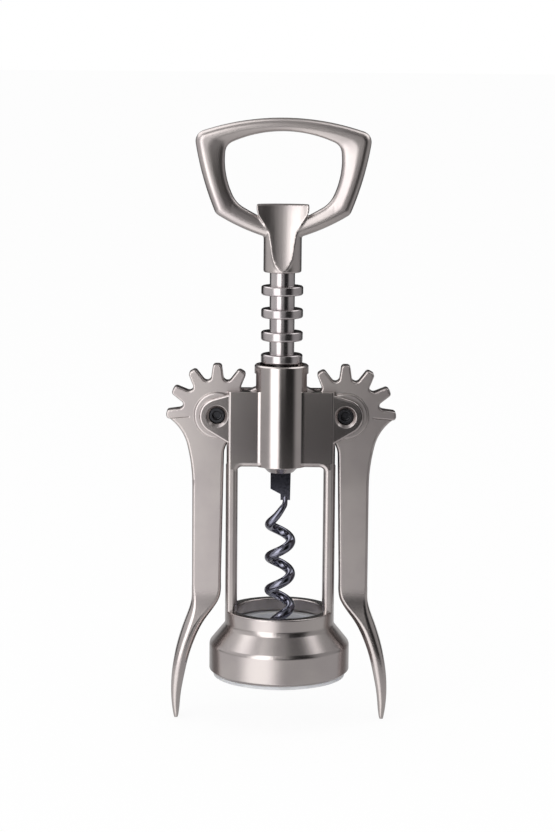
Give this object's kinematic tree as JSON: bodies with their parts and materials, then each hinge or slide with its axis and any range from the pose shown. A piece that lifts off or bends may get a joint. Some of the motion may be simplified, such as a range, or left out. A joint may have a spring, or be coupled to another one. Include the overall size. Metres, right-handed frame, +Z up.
{
  "type": "lever corkscrew",
  "caption": "Two-lever corkscrew with a bell that sits on the bottle's neck, a ringed sleeve driven by geared levers, a wire worm and an open-loop handle that is also a cap lifter.",
  "frame": {"origin": "centre of the bell's foot, where the bottle's neck enters the plastic guide", "axes": "+Z up along the worm's axis to the handle, +X to the right-hand lever, -Y to the front, the side with the cap lifter's tab"},
  "size_m": [0.0688, 0.0424, 0.1816],
  "materials": {
    "satin_nickel": "satin nickel plate on zinc casting",
    "bright_steel": "bright turned",
    "dark_steel": "dark, polished",
    "clear_plastic": "milky, half clear"
  },
  "bodies": {
    "frame": {"frame": "satin_nickel", "bottle_guide": "clear_plastic", "pivot_pin_left": "dark_steel", "pivot_pin_right": "dark_steel"},
    "rack": {"rack_sleeve": "bright_steel"},
    "spindle": {"spindle_shaft": "bright_steel", "worm": "dark_steel", "worm_pin": "dark_steel", "handle": "satin_nickel", "handle_pin": "dark_steel"},
    "lever_left": {"lever_left": "satin_nickel"},
    "lever_right": {"lever_right": "satin_nickel"}
  },
  "joints": [
    {"name": "rack_slide", "type": "slide", "parent": "frame", "child": "rack", "axis": [0, 0, -1], "range_m": [0, 0.034]},
    {"name": "handle_turn", "type": "hinge", "parent": "rack", "child": "spindle", "pos_m": [0, 0, 0.1], "axis": [0, 0, -1], "continuous": true},
    {"name": "lever_left_swing", "type": "hinge", "parent": "frame", "child": "lever_left", "pos_m": [-0.01919, 0, 0.0798], "axis": [0, 1, 0], "range_deg": [0, 150.2]},
    {"name": "lever_right_swing", "type": "hinge", "parent": "frame", "child": "lever_right", "pos_m": [0.01919, 0, 0.0798], "axis": [0, -1, 0], "range_deg": [0, 150.2]}
  ],
  "couplings": [
    {"joint": "lever_left_swing", "follows": "rack_slide", "rad_per_m": 77},
    {"joint": "lever_right_swing", "follows": "rack_slide", "rad_per_m": 77}
  ]
}
